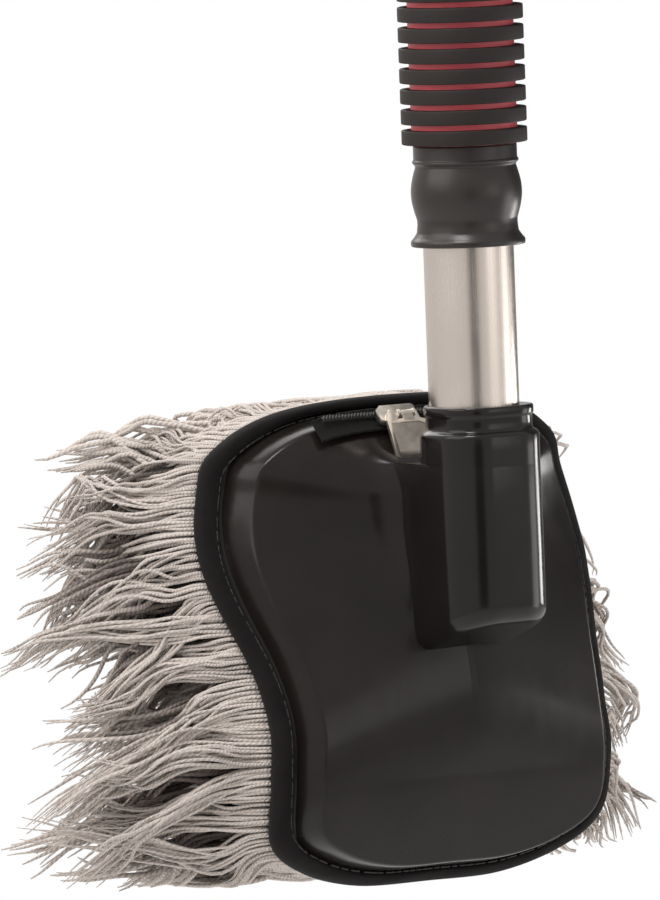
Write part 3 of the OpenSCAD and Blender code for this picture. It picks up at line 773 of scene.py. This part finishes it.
def build_cloth_and_foam(strand_pieces):
    outline = rim_outline(6)
    n = len(outline)
    edges = [(0.1, 17.6), (0.3, 17.5), (0.5, 17.3), (0.65, 16.9), (0.8, 16.2), (0.9, 15.0), (0.95, 13.2),
             (0.98, 10.8), (0.995, 8), (0.992, 6.5), (0.988, 5.45)]
    loops = swept_loops(outline, edges + [(k - 0.006, back - 0.6) for k, back in reversed(edges[:-1])])
    verts = to_frame(np.concatenate(loops))
    faces = loops_to_faces(len(loops), n, False)
    faces += straight_caps(n, 0, True) + straight_caps(n, (len(loops) - 1) * n, False)
    cloth = mesh_piece("cover_cloth", verts, faces, "backing_cloth", LOWER,
                       ["mop_backing"], 60)
    loops = [loop(outline, k, FOAM_BACK) for k in (0.05, 0.3, 0.55, 0.8, 0.93)]
    loops += [loop(outline, k, FOAM_BACK + back) for k, back in
              ((0.948, 0.5), (0.957, 1.6), (0.958, 2.8), (0.95, 4.6), (0.94, 5.9), (0.92, 7.1), (0.89, 8.1),
               (0.84, 9.1), (0.77, 9.8), (0.65, 10.4), (0.5, 10.9), (0.3, 11.1), (0.05, 11.2))]
    verts = to_frame(np.concatenate(loops))
    faces = loops_to_faces(len(loops), n, False)
    faces += straight_caps(n, 0, True) + straight_caps(n, (len(loops) - 1) * n, False)
    foam = mesh_piece("foam_block", verts, faces, "foam_grey", LOWER, ["foam_pad"], 60)


# ---------------------------------------------------------------- strands

rng = np.random.RandomState(7)
TIP, TAPER_FROM = 0.75, 0.72                 # what a yarn loses at its tip, and where along it that starts
PLY_TURNS = 0.42                             # turns of the twist per mm


def smooth_noise(count, points, waves, rand):
    """Random smooth curves that start at zero: count curves of points values."""
    s = np.linspace(0, 1, points)[None, :]
    total = np.zeros((count, points))
    for w in waves:
        phase, size = rand.uniform(0, 2 * math.pi, (count, 1)), rand.normal(0, 1, (count, 1)) / w
        total += size * (np.sin(2 * math.pi * w * s + phase) - np.sin(phase))
    return total


def tubes(name, paths, radius, sides, rand):
    """One mesh of round yarns along paths, an array of yarn, point and coordinate in mm."""
    count, points, _ = paths.shape
    tangent = np.gradient(paths, axis=1)
    tangent /= np.linalg.norm(tangent, axis=2, keepdims=True) + 1e-9
    side = np.cross(tangent, np.broadcast_to(rand.normal(0, 1, (count, 1, 3)), tangent.shape))
    side /= np.linalg.norm(side, axis=2, keepdims=True) + 1e-9
    up = np.cross(tangent, side)
    taper = 1 - TIP * np.clip((np.linspace(0, 1, points) - TAPER_FROM) / (1 - TAPER_FROM), 0, 1) ** 1.5
    size = radius[:, None] * taper[None, :] * (1 + 0.10 * smooth_noise(count, points, (3, 6), rand))
    angle = np.linspace(0, 2 * math.pi, sides, endpoint=False)
    ring = (side[:, :, None, :] * np.cos(angle)[None, None, :, None]
            + up[:, :, None, :] * np.sin(angle)[None, None, :, None]) * size[:, :, None, None]
    verts = to_frame((paths[:, :, None, :] + ring).reshape(-1, 3))
    base = (np.arange(count) * points * sides)[:, None, None]
    r, i = np.arange(points - 1)[None, :, None], np.arange(sides)[None, None, :]
    j = (i + 1) % sides
    quads = np.stack(np.broadcast_arrays(base + r * sides + i, base + r * sides + j,
                                         base + (r + 1) * sides + j, base + (r + 1) * sides + i),
                     -1).reshape(-1, 4)
    ends = (0, np.arange(sides)[::-1]), (points - 1, np.arange(sides))
    caps = np.concatenate([base[:, :, 0] + at * sides + order[None, :] for at, order in ends])
    mesh = bpy.data.meshes.new(name)
    mesh.vertices.add(len(verts))
    mesh.vertices.foreach_set("co", verts.ravel())
    mesh.loops.add(len(quads) * 4 + len(caps) * sides)
    mesh.loops.foreach_set("vertex_index", np.concatenate([quads.ravel(), caps.ravel()]).astype(np.int32))
    mesh.polygons.add(len(quads) + len(caps))
    mesh.polygons.foreach_set("loop_start", np.concatenate(
        [np.arange(len(quads)) * 4, len(quads) * 4 + np.arange(len(caps)) * sides]).astype(np.int32))
    mesh.polygons.foreach_set("loop_total", np.concatenate(
        [np.full(len(quads), 4), np.full(len(caps), sides)]).astype(np.int32))
    mesh.update(calc_edges=True)
    step = np.mean(np.linalg.norm(np.diff(paths, axis=1), axis=2))
    u, v = np.arange(sides + 1) / sides, np.arange(points) * step * PLY_TURNS
    quad_u = np.broadcast_to(np.stack([u[:-1], u[1:], u[1:], u[:-1]], -1), (count, points - 1, sides, 4))
    quad_v = np.broadcast_to(np.stack([v[:-1], v[:-1], v[1:], v[1:]], -1)[:, None],
                             (count, points - 1, sides, 4))
    uv = np.concatenate([np.stack([quad_u, quad_v], -1).reshape(-1, 2), np.zeros((len(caps) * sides, 2))])
    mesh.uv_layers.new(name="yarn").data.foreach_set("uv", uv.ravel().astype(np.float32))
    mesh.validate()
    piece = bpy.data.objects.new(name, mesh)
    bpy.context.scene.collection.objects.link(piece)
    return piece


def perimeter(outline, count, rand):
    """Places along the outline by length, with the outward direction at each."""
    closed = np.concatenate([outline, outline[:1]])
    step = np.linalg.norm(np.diff(closed, axis=0), axis=1)
    along = np.r_[0, np.cumsum(step)]
    at = (np.arange(count) + rand.uniform(-0.35, 0.35, count)) / count % 1 * along[-1]
    xz = np.stack([np.interp(at, along, closed[:, i]) for i in (0, 1)], -1)
    ahead = np.stack([np.interp((at + 2) % along[-1], along, closed[:, i]) for i in (0, 1)], -1)
    way = ahead - xz
    way /= np.linalg.norm(way, axis=1, keepdims=True) + 1e-9
    return xz, np.stack([way[:, 1], -way[:, 0]], -1), at / along[-1]


ROOT_MID = 74                                # the height that the strands spread from
REST_Z, SOFT_FROM, SOFTNESS = -1.0, 6, 2.5   # the strands rest at this height, and soften into it from above
LID_Z = 146.5                                # and they stay under this one, which falls away behind
REACH_Y = 114                                # beyond this they are drawn in, so that few stand proud
LOCKS_PER_TURN = 74
LOCK_TURN, YARN_TURN = 0.13, 0.04            # how far a lock, and a yarn in it, turns from its direction
LOCK_LENGTHS, YARN_LENGTHS = (0.74, 1.14), (0.86, 1.08)
LOCK_WAVE, YARN_WAVE = 0.04, 0.8             # a lock's wave as a share of its length, and a yarn's in mm
DROOPS = 0.45, 1.5


def grow(root, heading, length, clump, points, rand, droop, hold=0.72):
    """Paths that leave root along heading, drawn together in locks, wavy, and bent down by their weight."""
    count = len(root)
    s = np.linspace(0, 1, points)[None, :, None]
    locks = clump.max() + 1
    members = np.maximum(np.bincount(clump, minlength=locks), 1)[:, None]
    lock_root = np.stack([np.bincount(clump, root[:, i], locks) for i in range(3)], -1) / members
    lock_turn = rand.normal(0, LOCK_TURN, (locks, 3)) * (1, 1, 0.75)
    lock_wave = np.stack([smooth_noise(locks, points, (0.7, 1.5), rand) for _ in range(3)], -1)
    start = heading / np.linalg.norm(heading, axis=1, keepdims=True)
    way = start + lock_turn[clump] + rand.normal(0, YARN_TURN, (count, 3))
    way /= np.linalg.norm(way, axis=1, keepdims=True)
    reach = length * rand.uniform(*LOCK_LENGTHS, locks)[clump] * rand.uniform(*YARN_LENGTHS, count)
    reach = reach[:, None, None]
    course = start[:, None, :] * (1 - s ** 0.8) + way[:, None, :] * s ** 0.8
    path = root[:, None, :] + course * s * reach
    path += lock_wave[clump] * reach * LOCK_WAVE * ease(s / 0.6)
    path += (lock_root[clump] - root)[:, None, :] * hold * ease((s - 0.25) / 0.7)
    own = np.stack([smooth_noise(count, points, (1.1, 2.3, 3.7), rand) for _ in range(3)], -1)
    path += own * YARN_WAVE * ease(s / 0.35)
    path[:, :, 2] -= droop[:, None] * rand.uniform(*DROOPS, locks)[clump][:, None] * s[..., 0] ** 1.8
    over = path[:, :, 2] - REST_Z
    soft = SOFTNESS * np.log1p(np.exp(np.clip(over, -60, SOFT_FROM) / SOFTNESS)) * SOFT_FROM / 6.22
    path[:, :, 2] = REST_Z + np.where(over > SOFT_FROM, over, soft)
    lid = LID_Z - 0.13 * np.maximum(path[:, :, 1] - 48, 0)
    over = path[:, :, 2] - lid
    path[:, :, 2] = np.where(over > 0, lid + 2.2 * np.tanh(over / 8), path[:, :, 2])
    over = path[:, :, 1] - REACH_Y
    path[:, :, 1] = np.where(over > 0, REACH_Y + 9 * np.tanh(over / 14), path[:, :, 1])
    return path


def skirt_locks(at, depth, per_turn):
    """Groups yarns that stand near each other along the rim and across it."""
    band = np.floor(depth * 2.999).astype(int)   # three bands across
    return (np.floor((at + band * 0.37 / per_turn) * per_turn).astype(int) % per_turn) * 3 + band


# the skirt's rows: label, depths from the front as shares, yarns per row, material, radii in mm; the inner
# rows take the darker yarn with painted shade at its roots
SKIRT_ROWS = (("", (0, 0.1, 0.22), 400, "cotton_grey", (0.44, 0.6)),
              ("inner_", (0.36, 0.5, 0.64, 0.78, 0.9, 1.0), 210, "cotton_inner_painted_shade", (0.58, 0.78)))


def build_strands():
    """The skirt's rows round the rim, each cut into four pieces, and then the strands on the sole."""
    outline = rim_outline(6)
    pieces = []
    for label, depths, per_row, material, radii in SKIRT_ROWS:
        roots, ways, lens, locks, droops = [], [], [], [], []
        for depth in depths:
            xz, out, at = perimeter(outline, per_row, rng)
            k = 0.997 - 0.05 * depth
            back = 5.6 + 11.0 * depth + rng.uniform(-0.5, 0.5, per_row)
            roots.append(np.stack([xz[:, 0] * k, rim_y(xz[:, 1]) + back,
                                   ROOT_MID + (xz[:, 1] - ROOT_MID) * k], -1))
            tilt = 47 + 14 * ease((xz[:, 1] - 20) / 100) + 14 * depth
            tilt = np.radians(tilt + (93 - tilt) * (1 - np.abs(out[:, 0])) ** 0.9 + rng.normal(0, 3, per_row))
            level = np.where(out[:, 1] > 0, 0.10, 0.25)
            ways.append(np.stack([out[:, 0] * np.cos(tilt), np.sin(tilt),
                                  out[:, 1] * level * np.cos(tilt)], -1))
            lens.append(np.interp(xz[:, 1], (0, 55, 85, 105, 140), (76, 68, 52, 50, 54)) * (1 - 0.1 * depth)
                        * (1 - ease(out[:, 0] * 2) * (0.08 + 0.4 * ease((80 - xz[:, 1]) / 40))))
            droops.append(np.interp(xz[:, 1], (0, 12, 40, 100, 147), (0.5, 7, 17, 19, 12)))
            locks.append(skirt_locks(at, np.full(per_row, depth), LOCKS_PER_TURN))
        root, way = np.concatenate(roots), np.concatenate(ways)
        clump = np.unique(np.concatenate(locks), return_inverse=True)[1]
        path = grow(root, way, np.concatenate(lens), clump, 20, rng, np.concatenate(droops))
        radius = rng.uniform(*radii, len(root))
        bearing = np.degrees(np.arctan2(root[:, 2] - ROOT_MID, root[:, 0]))
        quarter = np.floor((bearing + 45) / 90).astype(int) % 4
        for q, side in enumerate(("right", "top", "left", "bottom")):
            pick = quarter == q
            piece = tubes(f"strands_{label}{side}", path[pick], radius[pick], 6, rng)
            # the top pieces take the plain yarn, without the inner rows' painted shade
            fill = "cotton_grey" if side == "top" else material
            pieces.append(dress(piece, fill, LOWER, ["strand_skirt"], 0))
    pieces.append(build_sole(outline))
    return pieces


SOLE_STRANDS, SOLE_CELL, SOLE_LENGTHS, SOLE_DROOP = 1900, 13, (42, 54), 9.0  # a lock grows in each cell


def build_sole(outline):
    count = SOLE_STRANDS
    base = outline[rng.randint(0, len(outline), count)]
    k = np.sqrt(rng.uniform(0.0, 0.92, count))
    z = ROOT_MID + (base[:, 1] - ROOT_MID) * k
    root = np.stack([base[:, 0] * k, rim_y(z) + 17.4, z], -1)
    way = np.stack([root[:, 0] / 70 * 0.5, np.ones(count), (root[:, 2] - ROOT_MID) / ROOT_MID * 0.12], -1)
    column, row = np.floor(root[:, 0] / SOLE_CELL + 20), np.floor(root[:, 2] / SOLE_CELL + 5)
    cell = column.astype(int) * 40 + row.astype(int)
    clump = np.unique(cell, return_inverse=True)[1]
    length, droop = rng.uniform(*SOLE_LENGTHS, count), np.full(count, SOLE_DROOP)
    path = grow(root, way, length, clump, 14, rng, droop, hold=0.45)
    piece = tubes("strands_sole", path, rng.uniform(0.7, 0.95, count), 5, rng)
    return dress(piece, "cotton_grey", LOWER, ["strand_pile"], 0)


build_shell()
build_socket()
build_handle()
build_binding()
build_zip()
build_cloth_and_foam(build_strands())
